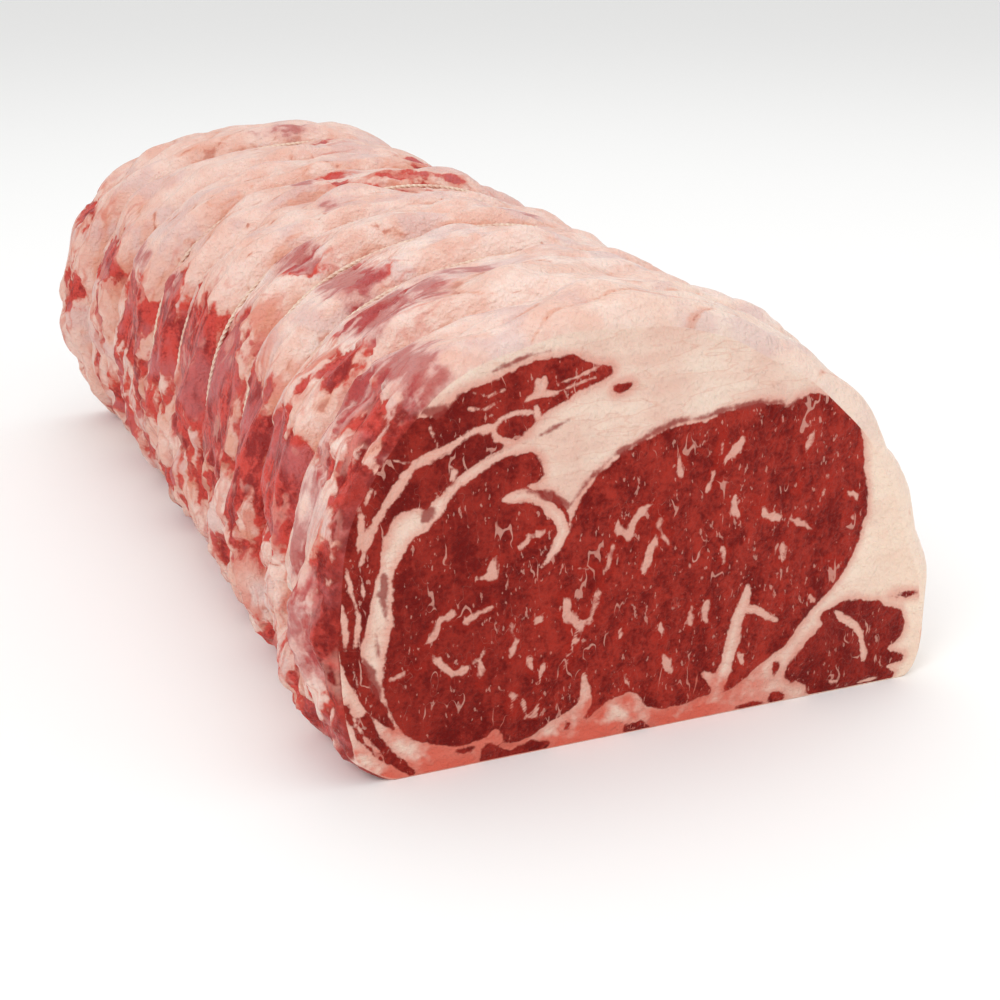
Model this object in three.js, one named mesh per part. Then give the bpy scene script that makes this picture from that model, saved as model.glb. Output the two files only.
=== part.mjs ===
// Raw boneless beef rib roast, rolled and tied with eight loops of butcher's twine.
// Millimetres, +Z up. The roast lies flat side down with its length along Y, the main
// cut face at -Y, and the origin under the middle of its box.
import * as THREE from 'three';

// The whole roast
const LENGTH = 343; // along its edges, without the bulge of the cut faces
const CENTRE_X = -9.9; // middle of the roast's box, in the section's own x
const CENTRE_Y = LENGTH / 2;

// Cross section, seen from the cut face: flat underneath, high left of the middle
const CROWN_X = -9;
const CROWN_HEIGHT = 117.5;
const REST_SINK = 1.4; // its own weight presses the underside flat by this much
const LEFT = { reach: 91, waist: 43, foot: 72, shoulder: 2.45, heel: 2.4 };
const RIGHT = { reach: 84, waist: 22, foot: 74, shoulder: 1.87, heel: 2.3 };

// Towards the back the roast is a little wider, mostly on its left side
const BACK_SPREAD = 0.03;
const BACK_RISE = 0.02;
const BACK_LEFT_BULGE = 11;

// The ties: place of each along the roast, and how far its plane leans across and up
const TIES = [
  { at: 29.5, across: -12, up: -6 },
  { at: 75, across: 2, up: 3.5 },
  { at: 110.5, across: 6, up: 6 },
  { at: 148, across: 3, up: 2 },
  { at: 187, across: 3, up: 3.5 },
  { at: 221, across: 2, up: 1 },
  { at: 263, across: -7, up: -9 },
  { at: 305, across: -6, up: -4.5 },
];
const TIE_DEPTH = 4.6; // how far a tie pulls the meat in, on average
const TIE_DEPTH_SWING = 1; // more than that on the left, less on the right
const LOBE_POWER = 3.4; // how square the meat stands between two ties
const LOBE_SWELL = [3, 1, 0.5, 0, 0.5, 0, 0.5, 1, 3.5]; // extra on each lobe's left side
const SWELL_FROM = 8; // height at which that extra is full
const GROOVE_HALF = 1.5; // half the width of a groove's bottom

// Twine
const TWINE_RADIUS = 0.75;
const TWINE_GAP = 0.75; // clear of the groove's bottom, straight chords included
const TWINE_SIDES = 4;

// The cut ends
const EDGE_INSET_LEFT = 4.5;
const EDGE_INSET_RIGHT = 7;
const EDGE_INSET_UNDER = 1; // underneath, where the edge stands on the flat
const EDGE_CALM = 0.5; // share of the lumps that is left at an edge
const EDGE_ROUND = 11; // length over which an end rounds in
const FACE_CENTRE = { x: -3, z: 52 };
const FACE_BULGE = 1.8;

// Lumps in the meat: waves round the section, wave length along it, height, phase
const LUMPS = [
  { round: 3, along: 105, high: 0.8, phase: 0.4 },
  { round: 5, along: 63, high: 0.75, phase: 2.1 },
  { round: 8, along: -48, high: 0.65, phase: 4.4 },
  { round: 13, along: 42, high: 0.5, phase: 1.3 },
  { round: 19, along: -35, high: 0.35, phase: 5.2 },
];

// Mesh fineness
const ROUND_STEPS = 80;
const OUTLINE_STEPS = 1440;
const CORNER_WEIGHT = 21; // mm; draws the steps closer together at tight corners
const ROWS_BY_TIE = [GROOVE_HALF, 4, 8.5];
const ROWS_BY_END = [1, 4, EDGE_ROUND];
const FACE_RINGS = [0.76, 0.5, 0.24];

const MEAT = new THREE.MeshStandardMaterial({ color: 0xb8655a, roughness: 0.42, metalness: 0 });
MEAT.name = 'raw_beef';
const TWINE = new THREE.MeshStandardMaterial({ color: 0xe3d0a4, roughness: 0.9, metalness: 0 });
TWINE.name = 'cotton_twine';

// A quarter of a superellipse: u runs from 0 on the first axis to 1 on the second
function quarter(u, power) {
  const angle = (u * Math.PI) / 2;
  return {
    first: Math.cos(angle) ** (2 / power),
    second: Math.sin(angle) ** (2 / power),
  };
}

// The section's outline, anticlockwise seen from the cut face, from the middle of its
// underside: right heel, right shoulder, crown, left shoulder, left heel
function outline() {
  const points = [];
  const steps = OUTLINE_STEPS / 4;
  for (let i = 0; i < steps; i += 1) {
    const arc = quarter(1 - i / steps, RIGHT.heel);
    const x = RIGHT.foot + (RIGHT.reach - RIGHT.foot) * arc.first;
    points.push([x, RIGHT.waist * (1 - arc.second)]);
  }
  for (let i = 0; i < steps; i += 1) {
    const arc = quarter(i / steps, RIGHT.shoulder);
    const x = CROWN_X + (RIGHT.reach - CROWN_X) * arc.first;
    points.push([x, RIGHT.waist + (CROWN_HEIGHT - RIGHT.waist) * arc.second]);
  }
  for (let i = 0; i < steps; i += 1) {
    const arc = quarter(1 - i / steps, LEFT.shoulder);
    const x = CROWN_X - (LEFT.reach + CROWN_X) * arc.first;
    points.push([x, LEFT.waist + (CROWN_HEIGHT - LEFT.waist) * arc.second]);
  }
  for (let i = 0; i <= steps; i += 1) {
    const arc = quarter(i / steps, LEFT.heel);
    const x = -LEFT.foot - (LEFT.reach - LEFT.foot) * arc.first;
    points.push([x, LEFT.waist * (1 - arc.second)]);
  }
  return points.map(([x, z]) => new THREE.Vector2(x, z));
}

// Steps round the outline, closer together where it turns; each has its place, its
// outward normal and its share of the way round
function roundSteps() {
  const points = outline();
  const count = points.length;
  const reach = [0];
  const weight = [0];
  for (let i = 1; i <= count; i += 1) {
    const before = points[(i - 2 + count) % count];
    const here = points[i - 1];
    const next = points[i % count];
    const step = here.distanceTo(next);
    const inward = here.clone().sub(before);
    const onward = next.clone().sub(here);
    const turn = inward.length() > 0 && step > 0 ? Math.abs(inward.cross(onward)) : 0;
    const angle = turn > 0 ? Math.asin(Math.min(1, turn / (inward.length() * step))) : 0;
    reach.push(reach[i - 1] + step);
    weight.push(weight[i - 1] + step + CORNER_WEIGHT * angle);
  }
  const round = reach[count];
  const place = (along) => {
    const wanted = ((along % round) + round) % round;
    let low = 0;
    let high = count;
    while (high - low > 1) {
      const middle = (low + high) >> 1;
      if (reach[middle] <= wanted) low = middle;
      else high = middle;
    }
    const share = (wanted - reach[low]) / Math.max(1e-9, reach[low + 1] - reach[low]);
    return points[low].clone().lerp(points[(low + 1) % count], share);
  };
  const steps = [];
  let at = 0;
  for (let i = 0; i < ROUND_STEPS; i += 1) {
    const wanted = (weight[count] * (i + 0.5)) / ROUND_STEPS;
    while (weight[at + 1] < wanted) at += 1;
    const share = (wanted - weight[at]) / (weight[at + 1] - weight[at]);
    const along = reach[at] + share * (reach[at + 1] - reach[at]);
    const point = place(along);
    const ahead = place(along + 2).sub(place(along - 2)).normalize();
    steps.push({ x: point.x, z: point.y, nx: ahead.y, nz: -ahead.x, round: along / round });
  }
  return steps;
}

// How far to the right and how far up a step is, each from -1 to 1
const sideOf = (step) => step.x / LEFT.reach;
const heightOf = (step) => step.z / (CROWN_HEIGHT / 2) - 1;

// How much a step belongs to the left side from a height up, from 0 to 1
const leftOf = (step, from) => Math.max(0, -sideOf(step)) * Math.min(1, step.z / from);

// Place along the roast where tie number i crosses a step; the ends count as ties
function tieAt(i, step) {
  if (i < 0) return 0;
  if (i >= TIES.length) return LENGTH;
  const tie = TIES[i];
  return tie.at + tie.across * sideOf(step) + tie.up * heightOf(step);
}

const depthAt = (step) => TIE_DEPTH - TIE_DEPTH_SWING * sideOf(step);

// How deep the skin lies under the section's outline: full at a tie, none mid way
function pull(fromTie, half, step) {
  const near = Math.max(0, Math.min(1, (fromTie - GROOVE_HALF) / (half - GROOVE_HALF)));
  return depthAt(step) * (1 - near) ** LOBE_POWER;
}

function lumps(step, y, lobe) {
  let height = 0;
  for (const wave of LUMPS) {
    const turn = 2 * Math.PI * (wave.round * step.round + y / wave.along);
    height += wave.high * Math.sin(turn + wave.phase + 1.7 * lobe);
  }
  return height;
}

// An end rounds in over EDGE_ROUND, more on the right than on the left, least below
function endInset(fromEnd, step) {
  if (fromEnd >= EDGE_ROUND) return 0;
  const side = (1 + step.x / RIGHT.reach) / 2;
  const full = EDGE_INSET_LEFT + (EDGE_INSET_RIGHT - EDGE_INSET_LEFT) * side;
  const above = Math.min(1, step.z / LEFT.waist);
  const inset = EDGE_INSET_UNDER + (full - EDGE_INSET_UNDER) * above;
  const way = 1 - fromEnd / EDGE_ROUND;
  return inset * (1 - Math.sqrt(1 - way * way));
}

// A point of the section at y, moved in by depth along its normal, and pressed flat
// underneath where it would pass the surface that the roast rests on
function skinPoint(step, y, depth) {
  const back = y / LENGTH;
  const spread = 1 + BACK_SPREAD * back;
  const bulge = BACK_LEFT_BULGE * back * back * leftOf(step, LEFT.waist);
  const x = step.x * spread - bulge - step.nx * depth;
  const z = step.z * (1 + BACK_RISE * back) - step.nz * depth;
  return new THREE.Vector3(x - CENTRE_X, y - CENTRE_Y, Math.max(0, z - REST_SINK));
}

// The rows of the skin, front to back: the lobe they are on and the side they hang from
function skinRows() {
  const rows = [];
  for (let lobe = 0; lobe <= TIES.length; lobe += 1) {
    const first = lobe === 0;
    const last = lobe === TIES.length;
    const front = first ? [0, ...ROWS_BY_END] : ROWS_BY_TIE;
    const back = last ? [0, ...ROWS_BY_END] : ROWS_BY_TIE;
    for (const off of front) rows.push({ lobe, fromFront: off });
    if (!first) rows.push({ lobe, middle: true });
    for (const off of [...back].reverse()) rows.push({ lobe, fromBack: off });
  }
  return rows;
}

function rowPoint(row, step) {
  const front = tieAt(row.lobe - 1, step);
  const back = tieAt(row.lobe, step);
  const half = (back - front) / 2;
  let y = (front + back) / 2;
  if (row.fromFront !== undefined) y = front + row.fromFront;
  if (row.fromBack !== undefined) y = back - row.fromBack;
  let depth = 0;
  if (row.lobe > 0) depth += pull(y - front, half, step);
  if (row.lobe < TIES.length) depth += pull(back - y, half, step);
  const free = 1 - Math.min(1, depth / depthAt(step));
  // Nothing bulges below the flat underside, and the lumps fade out at a groove
  const above = Math.min(1, step.z / RIGHT.waist);
  const fromEnd = Math.min(y, LENGTH - y) / EDGE_ROUND;
  const calm = EDGE_CALM + (1 - EDGE_CALM) * Math.min(1, fromEnd);
  const swell = LOBE_SWELL[row.lobe] * leftOf(step, SWELL_FROM);
  depth -= (lumps(step, y, row.lobe) * above * calm + swell) * free;
  depth += endInset(y, step) + endInset(LENGTH - y, step);
  return skinPoint(step, y, depth);
}

// A point of a cut face: its edge drawn in to the face's centre, which bulges a little
function facePoint(edge, share, outwards) {
  const bulge = FACE_BULGE * (1 - share * share);
  const x = FACE_CENTRE.x - CENTRE_X + (edge.x - FACE_CENTRE.x + CENTRE_X) * share;
  const z = FACE_CENTRE.z + (edge.z - FACE_CENTRE.z) * share;
  return new THREE.Vector3(x, edge.y + outwards * bulge, z);
}

// Joins closed rings of equal length into one closed body, with a point at each end
function bodyOfRings(rings, firstPoint, lastPoint) {
  const size = rings[0].length;
  const places = rings.flat().concat([firstPoint, lastPoint]);
  const index = [];
  for (let r = 0; r + 1 < rings.length; r += 1) {
    for (let i = 0; i < size; i += 1) {
      const a = r * size + i;
      const b = r * size + ((i + 1) % size);
      index.push(a, b + size, b, a, a + size, b + size);
    }
  }
  const start = rings.length * size;
  const lastRing = (rings.length - 1) * size;
  for (let i = 0; i < size; i += 1) {
    const next = (i + 1) % size;
    index.push(start, i, next);
    index.push(start + 1, lastRing + next, lastRing + i);
  }
  return meshGeometry(places, index);
}

function meshGeometry(places, index) {
  const geometry = new THREE.BufferGeometry();
  geometry.setFromPoints(places);
  geometry.setIndex(index);
  geometry.computeVertexNormals();
  return geometry;
}

function roastGeometry(steps) {
  const skin = skinRows().map((row) => steps.map((step) => rowPoint(row, step)));
  const frontEdge = skin[0];
  const backEdge = skin[skin.length - 1];
  const ring = (edge, share, outwards) => edge.map((point) => facePoint(point, share, outwards));
  const front = [...FACE_RINGS].reverse().map((share) => ring(frontEdge, share, -1));
  const back = FACE_RINGS.map((share) => ring(backEdge, share, 1));
  const frontMiddle = facePoint(frontEdge[0], 0, -1);
  const backMiddle = facePoint(backEdge[0], 0, 1);
  return bodyOfRings([...front, ...skin, ...back], frontMiddle, backMiddle);
}

// One closed loop of twine in the groove of tie i, on every second step of the skin
function twineGeometry(i, steps) {
  const held = steps.filter((step, at) => at % 2 === 0);
  const places = [];
  for (const step of held) {
    const depth = depthAt(step) - TWINE_RADIUS - TWINE_GAP;
    const y = tieAt(i, step);
    const middle = skinPoint(step, y, depth);
    for (let side = 0; side < TWINE_SIDES; side += 1) {
      const angle = (side / TWINE_SIDES) * 2 * Math.PI;
      const out = TWINE_RADIUS * Math.cos(angle);
      const along = TWINE_RADIUS * Math.sin(angle);
      const point = middle.clone();
      point.x += step.nx * out;
      point.z += step.nz * out;
      point.y += along;
      places.push(point);
    }
  }
  const index = [];
  for (let s = 0; s < held.length; s += 1) {
    const next = ((s + 1) % held.length) * TWINE_SIDES;
    for (let side = 0; side < TWINE_SIDES; side += 1) {
      const turned = (side + 1) % TWINE_SIDES;
      const a = s * TWINE_SIDES + side;
      const b = s * TWINE_SIDES + turned;
      index.push(a, next + turned, next + side, a, b, next + turned);
    }
  }
  return meshGeometry(places, index);
}

const steps = roundSteps();
const group = new THREE.Group();

const roast = new THREE.Mesh(roastGeometry(steps), MEAT);
roast.name = 'roast';
group.add(roast);

TIES.forEach((tie, i) => {
  const twine = new THREE.Mesh(twineGeometry(i, steps), TWINE);
  twine.name = `twine_${i + 1}`;
  group.add(twine);
});

export default group;
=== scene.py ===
"""Raw boneless beef rib roast, rolled and tied: its looks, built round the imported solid.

Shapes are worked out in millimetres, in the section's own axes: x to the right and z up
seen from the main cut face, y along the roast. Meshes are made in metres in the row frame.
"""
import functools
import math
from types import SimpleNamespace

import bpy
import numpy as np
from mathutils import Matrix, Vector, noise


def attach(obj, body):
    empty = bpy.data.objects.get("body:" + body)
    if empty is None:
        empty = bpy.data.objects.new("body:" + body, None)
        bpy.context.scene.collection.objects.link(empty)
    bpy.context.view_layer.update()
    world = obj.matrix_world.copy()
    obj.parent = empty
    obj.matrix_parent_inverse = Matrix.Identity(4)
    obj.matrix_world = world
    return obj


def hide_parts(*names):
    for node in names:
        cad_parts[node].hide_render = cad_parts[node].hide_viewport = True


bl_info = {
    "name": "Raw beef rib roast",
    "version": (1, 0, 0),
    "blender": (4, 5, 0),
    "location": "View3D > Sidebar > Rib roast",
    "description": "A rolled and tied raw rib roast with marbled cut faces",
    "category": "Add Mesh",
}

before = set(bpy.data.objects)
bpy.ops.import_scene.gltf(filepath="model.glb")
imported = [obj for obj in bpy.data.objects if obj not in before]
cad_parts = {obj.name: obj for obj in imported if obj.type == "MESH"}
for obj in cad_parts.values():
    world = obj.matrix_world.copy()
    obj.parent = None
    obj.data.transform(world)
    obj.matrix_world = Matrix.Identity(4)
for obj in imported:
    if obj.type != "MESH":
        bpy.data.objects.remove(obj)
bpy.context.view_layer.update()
MM = 0.001

# The solid's driving dimensions, which the finer meat follows
LENGTH = 343
CENTRE_X = -9.9
CENTRE_Y = LENGTH / 2
CROWN_X = -9
CROWN_HEIGHT = 117.5
REST_SINK = 1.4
LEFT = SimpleNamespace(sign=-1, reach=91, waist=43, foot=72, shoulder=2.45, heel=2.4)
RIGHT = SimpleNamespace(sign=1, reach=84, waist=22, foot=74, shoulder=1.87, heel=2.3)
BACK_SPREAD = 0.03
BACK_RISE = 0.02
BACK_LEFT_BULGE = 11
# Each tie's place along the roast, and how far its plane leans across and up
TIES = [(29.5, -12, -6), (75, 2, 3.5), (110.5, 6, 6), (148, 3, 2),
        (187, 3, 3.5), (221, 2, 1), (263, -7, -9), (305, -6, -4.5)]
LOBE_SWELL = [3, 1, 0.5, 0, 0.5, 0, 0.5, 1, 3.5]
SWELL_FROM = 8
GROOVE_HALF = 1.5
EDGE_INSET_LEFT = 4.5
EDGE_INSET_RIGHT = 7
EDGE_INSET_UNDER = 1
EDGE_CALM = 0.5
EDGE_ROUND = 11
FACE_CENTRE = (-3, 52)
FACE_BULGE = 1.8
# The back cut's muscles against the main ones: growth, and waves with height, length, phase
BACK_GROWTH_X, BACK_GROWTH_Z = 1.04, 1.03
BACK_WAVE_X, BACK_WAVE_Z = (5, 19, 0.6), (4, 23, 2.2)
BACK_WAVE_CALM = 30
# Waves round the section, wave length along the roast, height and phase
LUMPS = [(3, 105, 0.8, 0.4), (5, 63, 0.75, 2.1), (8, -48, 0.65, 4.4),
         (13, 42, 0.5, 1.3), (19, -35, 0.35, 5.2)]
LOBE_PHASE = 1.7
OUTLINE_STEPS = 1440
NORMAL_REACH = 2

# The meat is made as two pieces that meet under the second loop of twine
SPLIT_TIE = 1
SPLIT_OVERLAP = 1.5
SPLIT_SINK = 1.6
HIDDEN_STEP = 6
# Meshes: rows stand closer by a tie and by a cut edge, and rings of a cut are thinned inwards
RING_MULTIPLE = 16
UNDER_HEIGHT = 0.8
STATIONS = 2000
TIE_CROWD, TIE_CROWD_REACH = 0.8, 3
EDGE_CROWD, EDGE_CROWD_REACH = 4, 1.2
FACE_REACH = 66
INNER_SHARE = 0.02
FEWEST_POINTS = 24
FAR = 30.0

# The meat slopes gently down to each loop of twine and rises steeply behind it
GROOVE_DEPTH_LEFT = 5
GROOVE_DEPTH_RIGHT = 1.5
GROOVE_TURN = (-0.6, 0.5)
BEFORE_POWER = 1.7
AFTER_POWER = 5.5
GROOVE_SINK = 0.5
GROOVE_SINK_REACH = 1.6
LIP_HEIGHT = 1.5
LIP_PLACE, LIP_REACH = 6, 3.4
FOLD_REACH = 6
# Where the relief of the skin grows in: above the table, away from a tie and from a cut edge
RELIEF_HEIGHT = 9
TIE_CALM_REACH = 1.8
EDGE_CALM_RANGE = (-2, 6)
# Ways round from the crown down the left side where the meat turns torn or lobed, and back
TORN = ((95, 130), (330, 250))
LOBED = ((-75, 5), (335, 300))
TORN_PATTERN_FROM = (-45, -5)
# Swell of the clumps of meat: all round, where it is lobed and where it is torn
CLUMP_ALL, CLUMP_LOBED, CLUMP_TORN = 2, 1.9, 1
FLAP_SWELL = 2.6
GRAIN_ALL, GRAIN_TORN = 0.16, 0.4
# Shares of the clumps and of all relief that the twine presses flat
CLUMP_PRESSED = 0.93
ALL_PRESSED = 0.85
# How wide the painted shade in the valleys between clumps reaches: least, more where the meat isn't
# lobed, slope of their sides, and the rim at which they end, which is farther off on smooth fat and flaps
VALLEY_LEAST, VALLEY_PLAIN, VALLEY_SLOPE = 0.5, 0.6, 42
VALLEY_RIM, VALLEY_RIM_SMOOTH, VALLEY_RIM_FLAP = 1.5, 3, 20
# Bare lean lies lower than the fat on it
BARE_SINK = 1.1
BARE_EDGE = 0.5
CUT_LEAN_SWELL = 0.22
CUT_SEAM_SINK = 0.12
CUT_GROW_IN = 20
# Share of the fraying of lean that silver skin has
SILVER_FRAYED = 0.45
SEED_SHIFT = 31.7
# Soft noises of the relief and of its pattern: lump size along x, y and z, seed, height
NOISES = {
    "lumps": ((15, 13, 15), 1, 1), "hanging": ((24, 7, 24), 8, 3.2), "clumps": ((25, 10, 25), 2, 1),
    "flaps": ((9, 3.6, 9), 9, 1), "grain": ((2.4, 2, 2.4), 3, 1), "folds": ((3.4, 15, 3.4), 4, 1.6),
    "torn": ((12, 7, 12), 11, 6), "torn strings": ((9, 2.6, 9), 12, 7),
    "soft": ((19, 15, 19), 13, 19), "soft edge": ((7, 5, 7), 14, 7),
    "cut": ((14, 14, 14), 6, 0.9), "cut grain": ((3.2, 3.2, 3.2), 7, 0.22),
}

# Twine: sides of its section, its plies, and the mean and the swing of its radius
TWINE_SIDES = 15
PLIES = 3
PLY_MEAN, PLY_SWING = 0.78, 0.22
# How far it stands out of its groove, and how much more on the right
TWINE_RAISED = 0.5
TWINE_RAISED_RIGHT = 0.4
PATH_STEP = 1.6
# A knot: its turns and bow, then its two tails, which reach along, drop down and stand out
KNOT_POINTS = 41
KNOT_TURNS = 1.3
KNOT_BOW = 2.1
KNOT_OVAL = 0.9
KNOT_BASE = 1.4
KNOT_WEAVE, WEAVE_TURNS = 1.2, 1.5
TAIL_FROM = 0.45
TAIL_REACH = 11
TAIL_DROP = 5
TAIL_RISE, TAIL_BEND, TAIL_HASTE = 4.6, 1.5, 1.1

# The photograph's view: a lens of 1600 px on a 1000 px frame, on a sensor of 36 mm
SENSOR = 36
CAMERA_LENS = 57.6
CAMERA_PLACE = (-0.1744, -0.5088, 0.2090)
CAMERA_PITCH = 20.7
CAMERA_YAW = 22.0
# Soft lamps: place, size, and share of the key's power; each looks at the roast's middle
LAMPS = {"key": ((-0.8, -0.75, 1.0), 0.5, 1), "top": ((0.15, 0.25, 1.5), 1.2, 1.1),
         "fill": ((1.1, -0.7, 0.6), 0.9, 0.35)}
LAMP_TARGET = (0, 0, 0.05)

# Outlines of the muscles on a cut face
EYE_INNER = [
    (-40, 84.5), (-46, 84.5), (-52, 82), (-57, 79), (-60.5, 76), (-63, 72), (-67, 68), (-72, 64.5),
    (-75.5, 59), (-76.5, 52), (-77, 45), (-78.5, 37), (-78.8, 28), (-77.5, 20), (-74.5, 14.5), (-69.5, 10.8),
    (-63, 8), (-57, 7.5), (-52.5, 8.5), (-50, 10.5), (-48.3, 9), (-47.3, 6), (-44, 5.3), (-40, 6.5),
    (-35, 9), (-30, 11), (-26.5, 15), (-25, 25), (-24, 40), (-27, 52), (-31, 60), (-30.5, 66), (-33, 71),
    (-37, 74), (-41, 75.5), (-38, 77.5), (-37.8, 81),
]
EYE_OUTER = [
    (-32, 58), (-30, 64), (-28, 69), (-25, 73.5), (-20, 78.5), (-14, 82), (-8, 84.7), (0, 87), (8, 87),
    (14, 88.5), (22, 89), (28, 89), (32, 87.6), (38, 90), (44, 88.7), (50, 86), (54, 81.5), (56, 76),
    (56.8, 70), (58, 63), (58.6, 55), (57.5, 48), (55, 42), (51, 36.5), (46, 31.5), (42, 27.5), (38, 22),
    (33, 17.4), (27, 14), (21, 9.5), (16, 8), (11, 8), (5, 7), (-2, 7.3), (-7, 9.3), (-9, 13), (-13, 13.5),
    (-17, 12.5), (-22, 9.5), (-24.5, 8.5), (-27, 14), (-32, 25), (-36, 42),
]
CAP = [
    (-19, 103.5), (-24, 104.8), (-27, 106.5), (-33, 107.3), (-40, 107), (-45, 105), (-52, 103), (-58, 101),
    (-64, 97.5), (-70, 96.5), (-76, 95), (-80.5, 90), (-84, 86), (-86.5, 80), (-88, 70), (-90, 60),
    (-91, 50), (-90, 40), (-87.5, 31), (-84, 24), (-79, 17), (-76, 16), (-79, 23), (-82.5, 31), (-84.5, 38),
    (-82.5, 45), (-81.5, 52), (-79.5, 60), (-77.5, 67), (-75, 72), (-70, 74.3), (-67, 73.5), (-64, 76.3),
    (-60, 79.3), (-55, 82.7), (-50, 85.2), (-45, 87), (-41, 90), (-38, 93), (-33, 95.5), (-27, 99),
    (-22, 100), (-19, 101.5),
]
TAIL_OUTER = [
    (-83, 21), (-86, 21), (-88, 25), (-90, 24), (-87, 17), (-83, 11), (-78, 6), (-74, 2.5), (-71, 2),
    (-75, 7), (-79, 12),
]
CORNER = [
    (36, 11), (38, 15), (41, 18.5), (44.5, 22), (47, 23.5), (46, 25.8), (50, 28.2), (55, 29.7), (60, 28.8),
    (65, 27.5), (68, 25.3), (72, 23.7), (74, 20), (74.5, 16), (72, 13.3), (69.5, 12), (72, 10), (75, 8.7),
    (74.5, 6.8), (69.5, 6.3), (72.5, 4.5), (73, 2.5), (70, 1), (60, 0.8), (50, 0.5), (45, 1.5), (44, 4.6),
    (41, 6.5), (37, 8),
]
SMALL = [
    (-53, 7.5), (-50, 7), (-48.2, 5.3), (-46, 3.6), (-44, 3.6), (-41, 4.8), (-38, 4.6), (-35, 4), (-34, 2.5),
    (-36, 1), (-44, 0.5), (-53, 0.8),
]
ISLET = [(-18, 98.6), (-15, 99.3), (-13, 98.7), (-14.5, 97.2), (-17.5, 96.8)]
MUSCLES = [EYE_INNER, EYE_OUTER, CAP, TAIL_OUTER, CORNER, SMALL, ISLET]
# Drops of red in the fat below: middle, half width, half height
RED_SPOTS = [(-10, 2.6, 3.2, 1.7), (-6, 1.8, 1.4, 1), (26, 1.7, 4, 1.2), (34, 2.6, 2.3, 2),
             (33, 13, 0.8, 1.8), (-29, 7.5, 0.7, 1.3), (74, 27.5, 2.6, 0.7), (-58, 6.4, 3, 0.9)]

# Fat inside the muscles: full width in the middle of its run, and the run
FAT_RUNS = [
    (3.9, [(-47.5, 73), (-42, 73.7), (-37, 71.3), (-33.2, 67), (-32, 63), (-34, 59), (-37.5, 54)]),
    (3.2, [(-25, 22), (-24.3, 15), (-26, 9), (-28, 4)]),
    (4.4, [(22.3, 39), (21, 34), (19.3, 28), (18.5, 22), (17.3, 16), (15, 10), (15, 4)]),
    (2.6, [(21, 33), (26, 31.6), (29, 29), (32, 27.2)]),
    (3, [(11, 15), (14, 12), (17, 8)]),
    (2, [(51, 26.5), (54, 23.5), (58, 21), (60, 18), (61, 15), (62, 12), (61.6, 9.5)]),
    (1.3, [(61, 2.5), (64, 2.6), (67, 3)]),
    (0.9, [(50.5, 5), (53, 4.6)]),
    # Seams of the cap
    (2.1, [(-84, 61), (-82, 68), (-79.5, 72.5), (-77, 76), (-73, 81.5), (-70, 85), (-66, 86.7), (-62, 88),
           (-58, 90.5), (-54, 91.8), (-50, 92), (-48, 94), (-44, 95), (-39.5, 94.5)]),
    (0.9, [(-70, 85), (-73, 86), (-76, 86.8)]),
    (1.3, [(-50.5, 92), (-49.3, 89.5), (-47, 88), (-44, 87)]),
    (1.5, [(-39, 95.5), (-38.5, 92.5), (-37, 90)]),
    (1, [(-56, 97.2), (-52, 96.6), (-49.5, 97.6), (-47.5, 94.5)]),
    (0.9, [(-42, 97.5), (-38, 99), (-34, 98.4), (-29, 100), (-23, 101.4)]),
    (2.2, [(-38.5, 102.5), (-37.5, 100.5), (-36.5, 102.5)]),
    (0.7, [(-34, 100.5), (-28, 102), (-22, 104)]),
    (0.6, [(-55, 101), (-51, 99.6), (-47, 100.6)]),
    (0.8, [(-31.5, 95), (-30.5, 98.5)]),
    (0.6, [(-66, 94), (-65, 90.5)]),
    (1.2, [(-61.5, 84), (-60, 82.3), (-60.8, 80)]),
    (1.1, [(-78, 87), (-76, 88.3)]),
    # Seams of the tail
    (1.3, [(-84.5, 80), (-83.3, 74), (-83.5, 69), (-84.5, 64)]),
    (0.8, [(-80.8, 80), (-82.5, 76)]),
    (1, [(-87.5, 62), (-86.3, 55), (-84.6, 48), (-86, 40)]),
    (0.7, [(-84, 60), (-83.3, 52)]),
    (0.9, [(-89, 52), (-88, 44), (-88.6, 38)]),
    (0.8, [(-87, 36), (-85.5, 30), (-83, 25)]),
    (0.9, [(-87, 21), (-84, 14), (-79, 8)]),
]
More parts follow.
